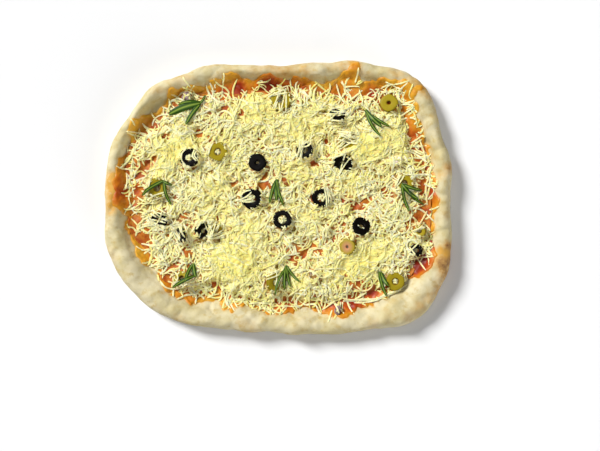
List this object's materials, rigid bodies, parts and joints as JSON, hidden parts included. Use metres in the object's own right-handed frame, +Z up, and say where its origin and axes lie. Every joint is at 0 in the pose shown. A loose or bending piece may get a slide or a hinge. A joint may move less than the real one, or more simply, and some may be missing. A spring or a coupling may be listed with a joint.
{
  "type": "seafood pizza",
  "caption": "Rounded-rectangular pizza with a raised pale crust, tomato sauce, a heap of fine grated cheese, olive rings, rosemary sprigs and small pieces of seafood.",
  "frame": {"origin": "middle of the underside, on the surface that the pizza rests on", "axes": "+X along the pizza's length, to the right in the picture; +Y across it, to the top of the picture; +Z up, out of the toppings"},
  "size_m": [0.2988, 0.236, 0.0242],
  "materials": {
    "dough": "dry baked dough, matte and lightly floured",
    "tomato_sauce": "wet cooked sauce with oil",
    "cheese": "fine grated cheese, waxy",
    "black_olive": "wet and smooth",
    "green_olive": "wet and smooth",
    "rosemary": "leathery needles",
    "octopus": "wet boiled seafood",
    "squid": "wet boiled seafood",
    "mussel": "wet boiled seafood"
  },
  "bodies": {
    "root": {"black_olive_01": "black_olive", "black_olive_02": "black_olive", "black_olive_03": "black_olive", "black_olive_04": "black_olive", "black_olive_05": "black_olive", "black_olive_06": "black_olive", "black_olive_07": "black_olive", "black_olive_08": "black_olive", "black_olive_09": "black_olive", "black_olive_10": "black_olive", "black_olive_11": "black_olive", "black_olive_12": "black_olive", "black_olive_13": "black_olive", "crust": "dough", "grated_cheese": "cheese", "green_olive_01": "green_olive", "green_olive_02": "green_olive", "green_olive_03": "green_olive", "green_olive_04": "green_olive", "green_olive_05": "green_olive", "green_olive_06": "green_olive", "green_olive_07": "green_olive", "green_olive_08": "green_olive", "green_olive_09": "green_olive", "green_olive_10": "green_olive", "green_olive_11": "green_olive", "green_olive_12": "green_olive", "mussel_01": "mussel", "octopus_piece_01": "octopus", "octopus_piece_02": "octopus", "rosemary_01": "rosemary", "rosemary_02": "rosemary", "rosemary_03": "rosemary", "rosemary_04": "rosemary", "rosemary_05": "rosemary", "rosemary_06": "rosemary", "rosemary_07": "rosemary", "rosemary_08": "rosemary", "squid_piece_01": "squid", "tomato_sauce": "tomato_sauce"}
  },
  "joints": []
}
